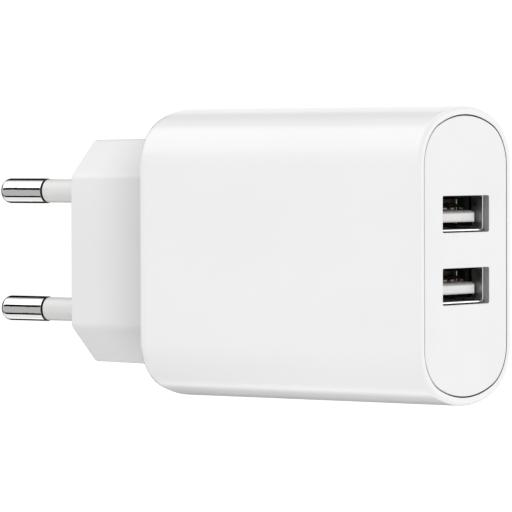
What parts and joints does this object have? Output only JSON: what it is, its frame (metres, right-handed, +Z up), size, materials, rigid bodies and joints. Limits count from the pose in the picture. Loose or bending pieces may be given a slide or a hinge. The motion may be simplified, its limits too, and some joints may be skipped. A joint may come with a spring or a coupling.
{
  "type": "usb wall charger",
  "caption": "White wall charger: long rounded housing with a fixed round-pin plug at one end and rectangular USB sockets stacked in its flat front panel.",
  "frame": {"origin": "centre of the plug block's flat rear face, midway between the two pins", "axes": "+X away from the wall towards the USB ports (the pins point along -X), +Z up along the line through both pins and both ports, +Y across the thickness towards the circuit board's side"},
  "size_m": [0.0892, 0.0252, 0.0448],
  "materials": {
    "white_gloss": "glossy moulded polycarbonate",
    "white_satin": "satin moulded polycarbonate",
    "white_plug": "fine satin-gloss moulded polycarbonate",
    "nickel": "bright nickel plate on brass",
    "sleeve_white": "pearly insulating polyamide",
    "bronze": "phosphor bronze strip",
    "steel": "tin-plated folded sheet steel",
    "tongue_white": "moulded thermoplastic insulator",
    "gold": "gold flash on copper alloy",
    "board_green": "green solder mask on glass epoxy",
    "fish_paper": "insulating sheet",
    "ferrite": "pressed ferrite",
    "bobbin_black": "moulded phenolic",
    "tape_yellow": "polyester film tape",
    "copper": "enamelled copper wire",
    "can_black": "sleeved aluminium can",
    "can_grey": "bare aluminium can",
    "ceramic_blue": "epoxy-dipped ceramic disc",
    "resistor_green": "lacquered resistor body",
    "epoxy_black": "moulded epoxy"
  },
  "bodies": {
    "charger": {"housing_shell": "white_gloss", "front_panel": "white_satin", "plug_block": "white_plug", "pin_live": "nickel", "pin_neutral": "nickel", "pin_sleeve_live": "sleeve_white", "pin_sleeve_neutral": "sleeve_white", "pin_spring_live": "bronze", "pin_spring_neutral": "bronze", "main_board": "board_green", "insulation_sheet": "fish_paper", "transformer_core_upper": "ferrite", "transformer_core_lower": "ferrite", "transformer_bobbin": "bobbin_black", "transformer_winding": "tape_yellow", "transformer_tape": "tape_yellow", "bulk_capacitor_1": "can_black", "bulk_capacitor_2": "can_black", "output_capacitor_1": "can_grey", "output_capacitor_2": "can_grey", "safety_capacitor": "ceramic_blue", "filter_choke_core": "ferrite", "filter_choke_winding": "copper", "fuse_resistor": "resistor_green", "bridge_rectifier": "epoxy_black", "primary_controller": "epoxy_black", "output_rectifier": "epoxy_black", "port_controller": "epoxy_black", "usb_shell_upper": "steel", "usb_tongue_upper": "tongue_white", "usb_shell_lower": "steel", "usb_tongue_lower": "tongue_white"},
    "contacts_upper": {"usb_contact_upper_1": "gold", "usb_contact_upper_2": "gold", "usb_contact_upper_3": "gold", "usb_contact_upper_4": "gold"},
    "contacts_lower": {"usb_contact_lower_1": "gold", "usb_contact_lower_2": "gold", "usb_contact_lower_3": "gold", "usb_contact_lower_4": "gold"}
  },
  "joints": [
    {"name": "contact_spring_upper", "type": "hinge", "parent": "charger", "child": "contacts_upper", "pos_m": [0.0565, 0, 0.00647], "axis": [0, 1, 0], "range_deg": [0, 5.3], "stiffness_Nm_per_rad": 0.3, "springref_deg": -2.86},
    {"name": "contact_spring_lower", "type": "hinge", "parent": "charger", "child": "contacts_lower", "pos_m": [0.0565, 0, -0.00432], "axis": [0, 1, 0], "range_deg": [0, 5.3], "stiffness_Nm_per_rad": 0.3, "springref_deg": -2.86}
  ]
}
